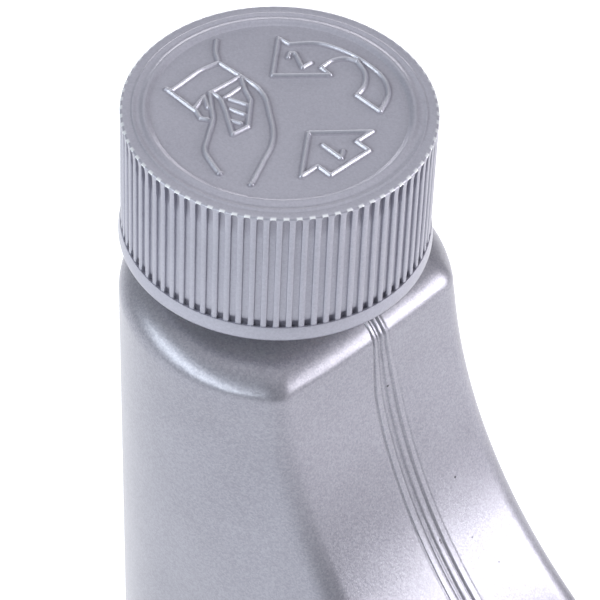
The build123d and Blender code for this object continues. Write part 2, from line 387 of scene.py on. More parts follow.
def grid_faces(rows, columns, start=0):
    """Quads over a grid of points, closed round in the direction of the columns."""
    faces = []
    for row in range(rows - 1):
        for column in range(columns):
            here = start + row * columns + column
            beside = start + row * columns + (column + 1) % columns
            faces.append((here, beside, beside + columns, here + columns))
    return faces


def clamped(share):
    """A share held between nothing and all."""
    return min(1.0, max(0.0, share))


def eased(share):
    """A share between nothing and all, eased in and out."""
    return share * share * (3 - 2 * share)


def smooth(share):
    """A share held between nothing and all, and eased in and out."""
    return eased(clamped(share))


def shares(count):
    """Even shares from nothing up to the last one before all."""
    return [step / count for step in range(count)]


def step_height(steps, across):
    """Height of a strip's profile at a distance across it, eased between its named steps."""
    if across <= steps[0][0] or across >= steps[-1][0]:
        return 0.0
    for (x0, h0), (x1, h1) in zip(steps[:-1], steps[1:]):
        if across <= x1:
            return h0 + (h1 - h0) * smooth((across - x0) / (x1 - x0))
    return 0.0


def flare_reach(height):
    """The flat side's distance from the neck axis at a height, and its lean from upright."""
    if height >= hollow_top:
        drop = max(flare_top - height, 0.0)
        return flare_top_reach + drop * tan(flare_start_angle), flare_start_angle if drop else 0.0
    if height >= ramp_top:
        lean = asin(sin(flare_start_angle) + (hollow_top - height) / flare_radius)
        run = flare_radius * (cos(flare_start_angle) - cos(lean))
        return flare_top_reach + flare_start_run + run, lean
    if height >= hip_top:
        run = flare_start_run + flare_arc_run + (ramp_top - height) * tan(flare_end_angle)
        return flare_top_reach + run, flare_end_angle
    if height > hip_foot:
        lean = asin((height - hip_foot) / hip_radius)
        return body_reach - hip_radius * (1 - cos(lean)), lean
    return body_reach, 0.0


def corner_place(reach, radius):
    """A corner's centre, out from the middle plane, with its arc a little inside the round back."""
    run = reach - flat_crown - corner_radius - back_offset
    return sqrt((radius - corner_radius) ** 2 - run**2) - corner_inset


body_corner = corner_place(flare_top_reach, back_radius)


def flat_places(flat_end):
    """Places across the flat side, close together over the parting strip."""
    stretches = (
        (-flat_end, strip_edge_low, flat_columns),
        (strip_edge_low, strip_edge_high, strip_columns),
        (strip_edge_high, flat_end, flat_columns),
    )
    return [low + (high - low) * share for low, high, count in stretches for share in shares(count)]


def curve_point(controls, share):
    """A point at a share of a cubic curve with four control points."""
    weights = ((1 - share) ** 3, 3 * share * (1 - share) ** 2, 3 * share**2 * (1 - share), share**3)
    return tuple(sum(w * c[axis] for w, c in zip(weights, controls)) for axis in (0, 1))


def outline(reach, radius, corner_y, wall=0.0):
    """Points round one level section, from the flat's near end to its far end and round the back."""
    crown_radius = (corner_y**2 + flat_crown**2) / (2 * flat_crown)
    lean = asin(corner_y / (crown_radius - corner_radius))
    centre_x = reach - crown_radius + (crown_radius - corner_radius) * cos(lean)
    corner = corner_radius - wall
    distance = hypot(centre_x - back_offset, corner_y)
    turn = atan2(corner_y, centre_x - back_offset) + acos(min(1.0, (radius - corner_radius) / distance))
    flat = []
    for y in flat_places(corner_y + corner * sin(lean)):
        flat.append((reach - crown_radius + sqrt((crown_radius - wall) ** 2 - y * y), y))
    far = []
    for share in shares(corner_columns):
        angle = lean + (turn - lean) * share
        far.append((centre_x + corner * cos(angle), corner_y + corner * sin(angle)))
    side_end = (centre_x + corner * cos(turn), corner_y + corner * sin(turn))
    back = radius - wall
    side_start = (back_offset, back)
    handle = side_fullness * hypot(side_end[0] - side_start[0], side_end[1] - side_start[1])
    controls = [
        side_end,
        (side_end[0] - handle * sin(turn), side_end[1] + handle * cos(turn)),
        (side_start[0] + handle, side_start[1]),
        side_start,
    ]
    far += [curve_point(controls, share) for share in shares(side_columns)]
    strip_angle = asin(back_strip_half / back)
    for share in shares(back_columns):
        angle = pi / 2 + (pi / 2 - strip_angle) * share
        far.append((back_offset + back * cos(angle), back * sin(angle)))
    strip = []
    for step in range(back_strip_columns + 1):
        angle = pi - strip_angle + 2 * strip_angle * step / back_strip_columns
        strip.append((back_offset + back * cos(angle), back * sin(angle)))
    near = [(x, -y) for x, y in reversed(far)]
    return flat + far + strip + near[:-1]


def body_levels(wall):
    """Heights, reaches, radii and corner places of the body's grid, from the foot up."""
    levels = []
    foot = base_round - wall
    floor = push_up + wall if wall else 0.0
    for row in range(base_rows + 1):
        turn = pi / 2 * row / base_rows
        inset = foot * (1 - sin(turn))
        height = floor + foot * (1 - cos(turn))
        levels.append((height, body_reach - inset, back_radius - inset, body_corner - inset))
    for row in range(1, upright_rows + 1):
        height = floor + foot + (hip_foot - floor - foot) * row / upright_rows
        levels.append((height, body_reach, back_radius, body_corner))
    for row in range(1, flare_rows + 1):
        height = hip_foot + (flare_top - hip_foot) * row / flare_rows
        reach, lean = flare_reach(height)
        levels.append((height, reach - (wall / cos(lean) - wall), back_radius, body_corner))
    return levels


def shoulder_ring(share, edge, wall):
    """Level section at a share of the way in over the shoulder, whose edge has a given radius."""
    edge_turn = shoulder_edge_bend * min(1.0, share / shoulder_edge_share)
    crown_share = clamped((share - shoulder_edge_share) / (shoulder_crown_share - shoulder_edge_share))
    crown_turn = shoulder_edge_bend + (shoulder_slope - shoulder_edge_bend) * crown_share
    crown = shoulder_crown_radius - wall
    inset = (edge - wall) * (1 - cos(edge_turn)) + crown * (cos(shoulder_edge_bend) - cos(crown_turn))
    height = flare_top + (edge - wall) * sin(edge_turn) + crown * (sin(crown_turn) - sin(shoulder_edge_bend))
    slope_share = clamped((share - shoulder_crown_share) / (1 - shoulder_crown_share))
    run = max(0.0, shoulder_run - inset) * slope_share
    inset += run
    height += run / tan(shoulder_slope)
    reach = flare_top_reach - inset
    radius = back_radius - inset
    return [(x, y, height) for x, y in outline(reach, radius, corner_place(reach, radius), wall)]


def cut_path(points, junction):
    """A way in over the shoulder, ended at a distance from the neck axis."""
    path = []
    for point in points:
        reach = hypot(point.x, point.y)
        if reach < junction:
            before = path[-1]
            start = hypot(before.x, before.y)
            path.append(before.lerp(point, (start - junction) / (start - reach)))
            break
        path.append(point)
    end = path[-1]
    reach = hypot(end.x, end.y)
    if reach > junction + 0.01:
        path.append(Vector((end.x * junction / reach, end.y * junction / reach, end.z)))
    return path


def shoulder_paths(wall, junction):
    """Each column's way in over the shoulder; its edge changes from the back's to the front's."""
    change = edge_change_end - edge_change_start
    foot = shoulder_ring(0.0, shoulder_edge_back, wall)
    weights = [smooth((x - edge_change_start) / change) for x, y, height in foot]
    rings = []
    for step in range(shoulder_steps + 1):
        back = shoulder_ring(step / shoulder_steps, shoulder_edge_back, wall)
        front = shoulder_ring(step / shoulder_steps, shoulder_edge_front, wall)
        rings.append([Vector(a).lerp(Vector(b), w) for a, b, w in zip(back, front, weights)])
    return [cut_path(points, junction) for points in zip(*rings)]


def thread_rise(angle, height, foot, depth):
    """Height of a helical ridge above its root cylinder, fading in and out at its ends."""
    turns = (height - foot) / thread_pitch - angle / (2 * pi)
    nearest = round(turns)
    along = nearest + angle / (2 * pi)
    fade = clamped(min(along, thread_turns - along) / thread_fade_turns + 1.0)
    away = abs(turns - nearest) * thread_pitch
    slope = (thread_root_width - thread_crest_width) / 2
    return depth * fade * clamped((thread_root_width / 2 - away) / slope)


def ring_at(angles, radius, height):
    """Points at given angles round the neck axis."""
    return [(radius * cos(angle), radius * sin(angle), height) for angle in angles]


def thread_rings(angles, radius, depth, foot, start, end, rows):
    """Rings up a threaded wall, whose depth is negative where the thread stands inwards."""
    rings = []
    for row in range(rows + 1):
        height = start + (end - start) * row / rows
        ring = []
        for angle in angles:
            reach = radius + thread_rise(angle % (2 * pi), height, foot, depth)
            ring.append((reach * cos(angle), reach * sin(angle), height))
        rings.append(ring)
    return rings


def parting_height(x, y, front_x, height):
    """Height of the parting strip at a point of a level section; the front one narrows at its top."""
    if x > front_x:
        low = smooth((strip_narrow_end - height) / (strip_narrow_end - strip_narrow_start))
        width = strip_top_width + (1.0 - strip_top_width) * low
        across = strip_pivot + (y - strip_pivot - strip_shift * low) / width
        return step_height(PARTING_FRONT, across)
    if x < back_offset:
        return step_height(PARTING_BACK, y)
    return 0.0


def along_path(path, share):
    """The point at a share of the way along a path."""
    lengths = [0.0]
    for before, after in zip(path[:-1], path[1:]):
        lengths.append(lengths[-1] + (after - before).length)
    target = lengths[-1] * share
    for index in range(1, len(path)):
        if lengths[index] >= target - 1e-9:
            part = (target - lengths[index - 1]) / max(1e-9, lengths[index] - lengths[index - 1])
            return tuple(path[index - 1].lerp(path[index], part))
    return tuple(path[-1])


def with_parting(ring, share):
    """Shoulder points lifted by the parting strip, which fades out towards the neck."""
    lifted = []
    lean = shoulder_slope * share
    fade = min(1.0, (1.0 - share) / strip_fade_share)
    for x, y, height in ring:
        lift = parting_height(x, y, strip_shoulder_x, height) * fade
        outward = 1.0 if x > 0 else -1.0
        lifted.append((x + outward * lift * cos(lean), y, height + lift * sin(lean)))
    return lifted


def outside_rings():
    """Level rings up the body and in over the shoulder, with the parting strip."""
    rings = []
    for height, reach, radius, corner_y in body_levels(0.0):
        ring = []
        for x, y in outline(reach, radius, corner_y):
            lift = min(parting_height(x, y, reach - strip_body_depth, height), body_reach - reach)
            outward = 1.0 if x > back_offset else -1.0
            ring.append((x + outward * lift, y, height))
        rings.append(ring)
    paths = shoulder_paths(0.0, neck_radius + neck_foot_round)
    for row in range(1, shoulder_rows + 1):
        share = row / shoulder_rows
        rings.append(with_parting([along_path(path, share) for path in paths], share))
    return rings


def neck_foot_rings(last):
    """The hollow round from the shoulder's last ring up to the neck."""
    rings = []
    for row in range(1, neck_foot_rows + 1):
        turn = pi / 2 * row / neck_foot_rows
        ring = []
        for x, y, height in last:
            scale = (neck_radius + neck_foot_round * (1 - sin(turn))) / hypot(x, y)
            ring.append((x * scale, y * scale, height + neck_foot_round * (1 - cos(turn))))
        rings.append(ring)
    return rings


def neck_rings(angles):
    """The neck's bead and thread, its lip, and its bore down to the inside of the shoulder."""
    bead_top = neck_bead_foot + neck_bead_height
    bead = [
        (neck_radius, neck_bead_foot - 0.35),
        (neck_radius + neck_bead_fillet, neck_bead_foot),
        (neck_bead_radius - neck_bead_bevel, neck_bead_foot + neck_bead_bevel),
        (neck_bead_radius, neck_bead_foot + neck_bead_slope),
        (neck_bead_radius, bead_top - neck_bead_slope),
        (neck_bead_radius - neck_bead_bevel, bead_top - neck_bead_bevel),
        (neck_radius + neck_bead_fillet, bead_top),
        (neck_radius, bead_top + 0.2),
    ]
    rings = [ring_at(angles, radius, height) for radius, height in bead]
    start = bead_top + thread_margin
    end = lip_level - lip_round
    rings += thread_rings(angles, neck_radius, neck_thread_depth, thread_foot, start, end, neck_thread_rows)
    lip_and_bore = [
        (neck_radius - lip_bevel, lip_level - lip_bevel),
        (neck_radius - lip_round, lip_level),
        (neck_bore_radius + lip_round, lip_level),
        (neck_bore_radius + lip_bevel, lip_level - lip_bevel),
        (neck_bore_radius, lip_level - lip_round),
        (neck_bore_radius, shoulder_top - body_wall),
    ]
    return rings + [ring_at(angles, radius, height) for radius, height in lip_and_bore]


def inside_rings():
    """Level rings down the inside of the shoulder and the body."""
    paths = shoulder_paths(body_wall, neck_bore_radius + neck_foot_round)
    rings = []
    for row in range(inner_shoulder_rows, -1, -1):
        rings.append([along_path(path, row / inner_shoulder_rows) for path in paths])
    for height, reach, radius, corner_y in reversed(body_levels(body_wall)[:-1]):
        rings.append([(x, y, height) for x, y in outline(reach, radius, corner_y, body_wall)])
    return rings


def base_rings():
    """The inner edge of the standing ring and the slope up to the raised panel."""
    ring_inset = base_round + standing_ring
    half_width = back_radius - ring_inset
    half_straight = (body_reach - body_back) / 2 - ring_inset - half_width
    middle_x = (body_reach + body_back) / 2
    foot = outline(body_reach - base_round, back_radius - base_round, body_corner - base_round)
    steps = [(0.0, 0.0), (0.2, 0.05), (push_up_slope - 0.2, push_up - 0.05), (push_up_slope, push_up)]
    rings = []
    for inset, height in steps:
        ring = []
        for x, y in foot:
            centre = middle_x + max(-half_straight, min(half_straight, x - middle_x))
            scale = (half_width - inset) / hypot(x - centre, y)
            ring.append((centre + (x - centre) * scale, y * scale, height))
        rings.append(ring)
    return rings


def make_bottle():
    """The whole blown bottle: outside, neck with its thread, lip, bore, inside and base."""
    rings = outside_rings()
    rings += neck_foot_rings(rings[-1])
    rings += neck_rings([atan2(y, x) for x, y, height in rings[-1]])
    rings += inside_rings()
    base = base_rings()
    columns = len(rings[0])
    faces = grid_faces(len(rings), columns)
    start = len(rings) * columns
    faces.append(tuple(range(start - columns, start)))
    for column in range(columns):
        beside = (column + 1) % columns
        faces.append((beside, column, start + column, start + beside))
    faces += [face[::-1] for face in grid_faces(len(base), columns, start)]
    panel = start + (len(base) - 1) * columns
    faces.append(tuple(range(panel, panel + columns))[::-1])
    points = [(x + neck_x, y, height) for ring in rings + base for x, y, height in ring]
    return link_mesh("bottle_shell", points, faces, 30.0)


def groove_inside(share, drop):
    """How far a point is inside a groove with an arched top end, from nothing to all."""
    across = min(share, 1.0 - share)
    end = max(0.0, 1.0 - max(0.0, drop) / groove_arch)
    return smooth((groove_half_mouth * sqrt(1.0 - end * end) - across) / groove_wall_share)


def rib_offset(share, height):
    """How far the ribbed wall lies inside the ribs' own radius."""
    across = min(share, 1.0 - share)
    drop = rim_level - groove_start - height
    inside = groove_inside(share, drop)
    depth = float(np.interp(drop, *zip(*GROOVE_DEPTHS)))
    from_middle = (0.5 - max(across, groove_half_mouth)) / (0.5 - groove_half_mouth)
    crown = rib_crown * from_middle**2 * smooth(drop / crown_run)
    return inside * depth + (1.0 - inside) * crown - dash_proud * dash_share(share, height)


def dash_share(share, height):
    """The small bead of flash over a groove's top end, from nothing to all; the same share also lightens it
    as a painted highlight.
    """
    across = min(share, 1.0 - share)
    away = abs(rim_level - dash_drop - height) / (dash_height / 2)
    return smooth(dash_strength * (1.0 - away)) * smooth((groove_half_mouth - across) / dash_edge)


def rib_painted_light(share, height):
    """How much painted highlight (on rib edges and flash beads) or painted shade (in the grooves) the ribbed
    wall gets at a share of the pitch and a height.
    """
    across = min(share, 1.0 - share)
    drop = rim_level - groove_start - height
    inside = groove_inside(share, drop)
    from_edge = abs(across - groove_half_mouth - rib_edge_offset) / rib_edge_width
    edge = rib_edge_highlight * smooth(1.0 - from_edge) * smooth(drop)
    return inside * float(np.interp(drop, *zip(*GROOVE_PAINTED_SHADE))) + edge + dash_share(share, height)


def closure_profile():
    """Rows down the closure's outside and up its bore.

    Each has its radius and height, how far it is ribbed, and how far its grooves run into the band.
    """
    rows = [(radius, rim_level + rise, 0.0, 0.0) for radius, rise in RIM_STEPS]
    rim_edge = rib_radius - rib_draft - rim_bevel
    rows.append((rim_edge - 0.08, rim_level, 0.0, 0.0))
    for step in range(1, rim_rows + 1):
        turn = pi / 2 * step / rim_rows
        radius = rim_edge + rim_bevel * sin(turn)
        rows.append((radius, rim_level - rim_bevel * (1 - cos(turn)), sin(turn) ** 2, 0.0))
    top = rim_level - rim_bevel
    for drop in RIB_DROPS:
        draft = rib_draft * (1 - drop / (top - band_top))
        rows.append((rib_radius - draft, top - drop, 1.0, 0.0))
    rows.append((rib_radius, band_top, 1.0, 1.0))
    ring_foot = cap_foot + snap_ring_lift
    plain = [
        (rib_radius + 0.01, band_top + 0.01), (band_top_radius - 0.03, band_top),
        (band_top_radius, band_top - 0.06), (band_radius - 0.03, cap_foot + 0.55),
        (band_radius, cap_foot + 0.35), (band_radius - 0.04, cap_foot + 0.12), (band_radius - 0.2, cap_foot),
        (shell_bore_radius + 0.35, cap_foot), (shell_bore_radius, cap_foot + 0.35),
        (shell_bore_radius, ring_foot), (snap_ring_radius, ring_foot + snap_ring_height / 3),
        (snap_ring_radius, ring_foot + snap_ring_height * 2 / 3),
        (shell_bore_radius, ring_foot + snap_ring_height),
        (shell_bore_radius, shell_ceiling - 0.4), (shell_bore_radius - 0.4, shell_ceiling),
    ]
    return rows + [(radius, height, 0.0, 0.0) for radius, height in plain]


def make_closure_shell():
    """The ribbed outer shell without the middle of its disc."""
    rows = closure_profile()
    points = []
    painted_lights = []
    for radius, height, ribbed, pocket in rows:
        # Painted highlight and painted shade of each ribbed point
        painted_lights += [rib_painted_light(share, height) if ribbed else 0.0 for share in RIB_COLUMNS] * rib_count
        offsets = [ribbed * rib_offset(share, height) for share in RIB_COLUMNS]
        drops = [pocket * groove_pocket * groove_inside(share, groove_below_end) for share in RIB_COLUMNS]
        for rib in range(rib_count):
            for share, offset, drop in zip(RIB_COLUMNS, offsets, drops):
                angle = closure_turn + 2 * pi * (rib + share) / rib_count
                reach = radius - offset
                points.append((neck_x + reach * cos(angle), reach * sin(angle), height - drop))
    columns = rib_count * len(RIB_COLUMNS)
    faces = [face[::-1] for face in grid_faces(len(rows), columns)]
    last = (len(rows) - 1) * columns
    faces.append(tuple(range(last, last + columns))[::-1])
    faces.append(tuple(range(columns)))
    shell = link_mesh("closure_shell", points, faces, 50.0)
    add_painted_light(shell, np.array(painted_lights))
    return shell


def curve_points(points, steps=8):
    """Points along a smooth line through the given ones."""
    padded = [points[0]] + points + [points[-1]]
    result = []
    for index in range(1, len(padded) - 2):
        before, start, end, after = (np.array(p, float) for p in padded[index - 1 : index + 3])
        for t in shares(steps):
            square = 2 * before - 5 * start + 4 * end - after
            cube = 3 * start - before - 3 * end + after
            result.append((2 * start + (end - before) * t + square * t**2 + cube * t**3) / 2)
    return result + [np.array(points[-1], float)]


def relief_strokes():
    """Straight pieces of every raised line, and its knobs, turned with the closure."""
    lines = [[np.array(p, float) for p in line] for line in RELIEF_LINES]
    lines += [curve_points(line) for line in RELIEF_CURVES]
    turn = np.array([[cos(closure_turn), -sin(closure_turn)], [sin(closure_turn), cos(closure_turn)]])
    turn *= relief_scale
    strokes = []
    for line in lines:
        placed = [turn @ point + relief_shift for point in line]
        strokes += list(zip(placed[:-1], placed[1:]))
    knobs = [turn @ np.array(p) + relief_shift for p in RELIEF_KNOBS]
    return strokes, knobs


def stroke_distance(grid_x, grid_y, strokes):
    """Distance from each place of a grid to the nearest raised line."""
    nearest = np.full(grid_x.shape, relief_edge)
    for start, end in strokes:
        run = end - start
        share = ((grid_x - start[0]) * run[0] + (grid_y - start[1]) * run[1]) / (run @ run)
        share = np.clip(share, 0.0, 1.0)
        away = np.hypot(grid_x - start[0] - share * run[0], grid_y - start[1] - share * run[1])
        nearest = np.minimum(nearest, away)
    return nearest


def near_share(distance, reach):
    """All at no distance, and nothing from a reach outwards."""
    return np.clip(1.0 - distance / reach, 0.0, 1.0)


def make_relief():
    """The disc's middle, a fine sheet whose raised lines run into each other like a mould's, with painted
    highlight on the lines' tops and painted shade round their feet.
    """
    half = int(relief_edge / relief_cell) + 1
    side = np.arange(-half, half + 1) * relief_cell
    grid_x, grid_y = np.meshgrid(side, side, indexing="ij")
    inside = np.hypot(grid_x, grid_y) < relief_edge
    strokes, knobs = relief_strokes()
    nearest = stroke_distance(grid_x, grid_y, strokes)
    rise = relief_height * eased(near_share(nearest, relief_reach))
    for x, y in knobs:
        knob = near_share(np.hypot(grid_x - x, grid_y - y), knob_radius)
        rise = np.maximum(rise, knob_height * eased(knob))
    numbers = -np.ones(grid_x.shape, int)
    numbers[inside] = np.arange(inside.sum())
    points = [
        (neck_x + x, y, disc_level - disc_sink + z)
        for x, y, z in zip(grid_x[inside], grid_y[inside], rise[inside])
    ]
    faces = []
    count = len(side)
    for i in range(count - 1):
        for j in range(count - 1):
            corners = (numbers[i, j], numbers[i + 1, j], numbers[i + 1, j + 1], numbers[i, j + 1])
            if min(corners) >= 0:
                faces.append(tuple(int(c) for c in corners))
    relief = link_mesh("closure_relief", points, faces, 80.0)
    # Painted highlight along the lines' tops, less painted shade round their feet
    top = relief_highlight_strength * near_share(nearest, relief_highlight_reach)
    foot = near_share(np.abs(nearest - relief_reach), relief_painted_shade_width)
    add_painted_light(relief, (top - foot)[inside])
    return relief


def joined_blocks(name, blocks):
    """One object from several closed blocks of points and faces."""
    points = []
    faces = []
    for block_points, block_faces in blocks:
        start = len(points)
        points += block_points
        faces += [tuple(start + i for i in face) for face in block_faces]
    return link_mesh(name, points, faces, 30.0)


def turned(points, angle):
    """Points given from the neck axis on its +X side, turned about it to their place."""
    along, across = cos(angle), sin(angle)
    return [(neck_x + x * along - y * across, x * across + y * along, z) for x, y, z in points]


def block_between(low, high):
    """A closed block from one outline to a like one, which run anticlockwise seen from the second."""
    count = len(low)
    faces = [tuple(range(count))[::-1], tuple(range(count, 2 * count))]
    for index in range(count):
        beside = (index + 1) % count
        faces.append((index, beside, beside + count, index + count))
    return low + high, faces


def tooth_block(shape, angle):
    """A tooth or lug with one outline across, between the clutch's radii, turned to its place."""
    ends = [[(radius, y, z) for y, z in shape] for radius in (tooth_inner_radius, tooth_outer_radius)]
    points, faces = block_between(*ends)
    return turned(points, angle), faces


def make_lugs():
    """Drive lugs and return fingers under the outer shell's top."""
    foot = shell_ceiling - lug_height
    lug = [
        (-lug_width / 2 + lug_height / 2, foot), (lug_width / 2, foot),
        (lug_width / 2, shell_ceiling), (-lug_width / 2, shell_ceiling),
    ]
    finger = [
        (finger_inner_radius, shell_ceiling), (finger_inner_radius + finger_thickness * 2, shell_ceiling),
        (finger_outer_radius, foot + finger_thickness), (finger_outer_radius, foot),
        (finger_outer_radius - finger_thickness, foot),
    ]
    sides = [[(x, y, z) for x, z in finger] for y in (-finger_width / 2, finger_width / 2)]
    finger_points, finger_faces = block_between(*sides)
    blocks = [tooth_block(lug, 2 * pi * index / clutch_teeth) for index in range(clutch_teeth)]
    for index in range(finger_count):
        blocks.append((turned(finger_points, 2 * pi * index / finger_count), finger_faces))
    return joined_blocks("closure_lugs", blocks)


def make_teeth():
    """Ratchet teeth on the inner shell's top."""
    tooth = [
        (-tooth_width / 2, inner_top), (tooth_width / 2, inner_top),
        (tooth_width / 2, tooth_top), (-tooth_width / 2 + tooth_ramp, tooth_top),
    ]
    blocks = [tooth_block(tooth, 2 * pi * (index + 0.5) / clutch_teeth) for index in range(clutch_teeth)]
    return joined_blocks("inner_teeth", blocks)


def make_inner_shell():
    """The inner shell of the closure, threaded inside."""
    angles = [closure_turn + 2 * pi * share for share in shares(inner_columns)]
    ceiling = inner_top - inner_top_wall
    outside = [
        (1.0, inner_top), (inner_shell_radius - 0.5, inner_top),
        (inner_shell_radius - 0.15, inner_top - 0.15), (inner_shell_radius, inner_top - 0.5),
        (inner_shell_radius, flange_foot + flange_height), (flange_radius, flange_foot + flange_height / 2),
        (flange_radius, flange_foot), (inner_shell_radius, flange_foot),
        (inner_shell_radius, inner_foot + 0.2), (inner_shell_radius - 0.2, inner_foot),
        (inner_bore_radius + 0.2, inner_foot), (inner_bore_radius, inner_foot + 0.2),
    ]
    rings = [ring_at(angles, radius, height) for radius, height in outside]
    foot = thread_foot + thread_pitch / 2
    start = inner_foot + thread_margin
    end = ceiling - 0.3
    rings += thread_rings(angles, inner_bore_radius, -inner_thread_depth, foot, start, end, inner_thread_rows)
    rings.append(ring_at(angles, inner_bore_radius - 0.2, ceiling))
    rings.append(ring_at(angles, 1.0, ceiling))
    points = [(neck_x + x, y, height) for ring in rings for x, y, height in ring]
    faces = [face[::-1] for face in grid_faces(len(rings), inner_columns)]
    last = (len(rings) - 1) * inner_columns
    faces.append(tuple(range(inner_columns)))
    faces.append(tuple(range(last, last + inner_columns))[::-1])
    return link_mesh("inner_shell", points, faces, 35.0)


class Nodes:
    """A material's node tree with short calls for its nodes and links."""

    def __init__(self, name):
        self.material = bpy.data.materials.new(name)
        self.material.use_nodes = True
        self.tree = self.material.node_tree
        self.shader = self.tree.nodes["Principled BSDF"]

    def add(self, kind, **values):
        """A new node, with values for its inputs and settings."""
        node = self.tree.nodes.new(kind)
        for key, value in values.items():
            if key in node.inputs:
                node.inputs[key].default_value = value
            else:
                setattr(node, key, value)
        return node

    def link(self, source, target):
        """Joins an output to an input."""
        self.tree.links.new(source, target)

    def set(self, **values):
        """Sets the shader's own inputs, whose names have _ in place of a space."""
        for key, value in values.items():
            self.shader.inputs[key.replace("_", " ")].default_value = value


def noise_at(nodes, scale, detail, coordinates, roughness=0.5):
    """Noise in object space at a scale per metre."""
    node = nodes.add("ShaderNodeTexNoise", Scale=scale, Detail=detail, Roughness=roughness)
    nodes.link(coordinates, node.inputs["Vector"])
    return node.outputs["Fac"]


def ramp(nodes, source, low, high, at_low=0.0, at_high=1.0):
    """A source mapped from one range to another and clamped."""
    node = nodes.add("ShaderNodeMapRange")
    node.inputs["From Min"].default_value = low
    node.inputs["From Max"].default_value = high
    node.inputs["To Min"].default_value = at_low
    node.inputs["To Max"].default_value = at_high
    nodes.link(source, node.inputs["Value"])
    return node.outputs["Result"]


def tint(nodes, factor, low, high):
    """A colour between two by a factor; the first may be another node's output."""
    node = nodes.add("ShaderNodeMix", data_type="RGBA")
    if isinstance(low, tuple):
        node.inputs["A"].default_value = (*low, 1.0)
    else:
        nodes.link(low, node.inputs["A"])
    node.inputs["B"].default_value = (*high, 1.0)
    nodes.link(factor, node.inputs["Factor"])
    return node.outputs["Result"]


def maths(nodes, operation, *terms):
    """A sum, product or the like of outputs and numbers."""
    node = nodes.add("ShaderNodeMath", operation=operation)
    for socket, term in zip(node.inputs, terms):
        if isinstance(term, (int, float)):
            socket.default_value = term
        else:
            nodes.link(term, socket)
    return node.outputs[0]


def bump(nodes, height, distance, strength, normal=None):
    """A bump of a height output, over another normal if there is one."""
    node = nodes.add("ShaderNodeBump", Strength=strength, Distance=distance)
    nodes.link(height, node.inputs["Height"])
    if normal is not None:
        nodes.link(normal, node.inputs["Normal"])
    return node.outputs["Normal"]


def pearl_plastic(name, dark, light, metallic, roughness, coat, coat_roughness, grain, flake):
    """Satin plastic with fine metallic pigment: flakes that glint, soft clouds and a moulded skin."""
    nodes = Nodes(name)
    place = nodes.add("ShaderNodeTexCoord").outputs["Object"]
    flakes = nodes.add("ShaderNodeTexVoronoi", Scale=flake_scale)
    nodes.link(place, flakes.inputs["Vector"])
    flake_value = nodes.add("ShaderNodeSeparateColor")
    nodes.link(flakes.outputs["Color"], flake_value.inputs["Color"])
    clouds = noise_at(nodes, cloud_scale, cloud_detail, place)
    skin = noise_at(nodes, skin_scale, skin_detail, place, skin_fineness)
    mixed = maths(nodes, "MULTIPLY_ADD", flake_value.outputs["Red"], flake, 0.5 - flake / 2)
    mixed = maths(nodes, "MULTIPLY_ADD", clouds, cloud_share, mixed)
    mixed = maths(nodes, "MULTIPLY_ADD", skin, skin_share, mixed)
    colour = tint(nodes, ramp(nodes, mixed, *COLOUR_RANGE), dark, light)
    nodes.link(colour, nodes.shader.inputs["Base Color"])
    rough = ramp(nodes, skin, *GRAIN_RANGE, roughness - rough_below, roughness + rough_above)
    nodes.link(rough, nodes.shader.inputs["Roughness"])
    normal = bump(nodes, skin, skin_depth, grain)
    normal = bump(nodes, flake_value.outputs["Green"], flake_depth, grain * flake_bump, normal)
    normal = bump(nodes, clouds, cloud_depth, cloud_bump, normal)
    nodes.link(normal, nodes.shader.inputs["Normal"])
    nodes.set(Metallic=metallic, Coat_Weight=coat, Coat_Roughness=coat_roughness)
    return nodes


def mix_painted_light(nodes):
    """Painted highlights on edges and painted shade in hollows, mixed in where the mesh's stored painted
    light says so.
    """
    base = nodes.shader.inputs["Base Color"]
    painted_light = nodes.add("ShaderNodeAttribute", attribute_name="painted_light").outputs["Fac"]
    with_painted_highlight = tint(nodes, ramp(nodes, painted_light, 0.0, 1.0), base.links[0].from_socket, PAINTED_HIGHLIGHT_COLOUR)
    with_painted_shade = tint(nodes, ramp(nodes, painted_light, -1.0, 0.0, painted_shade_strength, 0.0), with_painted_highlight, PAINTED_SHADE_COLOUR)
    nodes.link(with_painted_shade, base)


def add_specks(nodes):
    """Small dark specks of dirt on a moulding."""
    place = nodes.add("ShaderNodeTexCoord").outputs["Object"]
    base = nodes.shader.inputs["Base Color"]
    colour = base.links[0].from_socket
    for (x, y, z), radius in SPECKS:
        away = nodes.add("ShaderNodeVectorMath", operation="DISTANCE")
        away.inputs[1].default_value = ((neck_x + x) * MM, y * MM, z * MM)
        nodes.link(place, away.inputs[0])
        near = ramp(nodes, away.outputs["Value"], radius * MM, radius * MM * speck_core)
        colour = tint(nodes, near, colour, SPECK_COLOUR)
    nodes.link(colour, base)


def plain_plastic(name, dark, light, roughness, grain):
    """Uncoloured moulded plastic or foam with fine grain."""
    nodes = Nodes(name)
    place = nodes.add("ShaderNodeTexCoord").outputs["Object"]
    clouds = noise_at(nodes, plain_cloud_scale, 4.0, place)
    skin = noise_at(nodes, plain_grain_scale, 3.0, place)
    nodes.link(tint(nodes, ramp(nodes, clouds, *GRAIN_RANGE), dark, light), nodes.shader.inputs["Base Color"])
    rough = ramp(nodes, skin, *GRAIN_RANGE, roughness - plain_rough_spread, roughness + plain_rough_spread)
    nodes.link(rough, nodes.shader.inputs["Roughness"])
    nodes.link(bump(nodes, skin, plain_grain_depth, grain), nodes.shader.inputs["Normal"])
    return nodes


def dress(thing, material, body):
    """Gives a new piece its material, body and slot."""
    thing.data.materials.append(material)
    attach(thing, body)


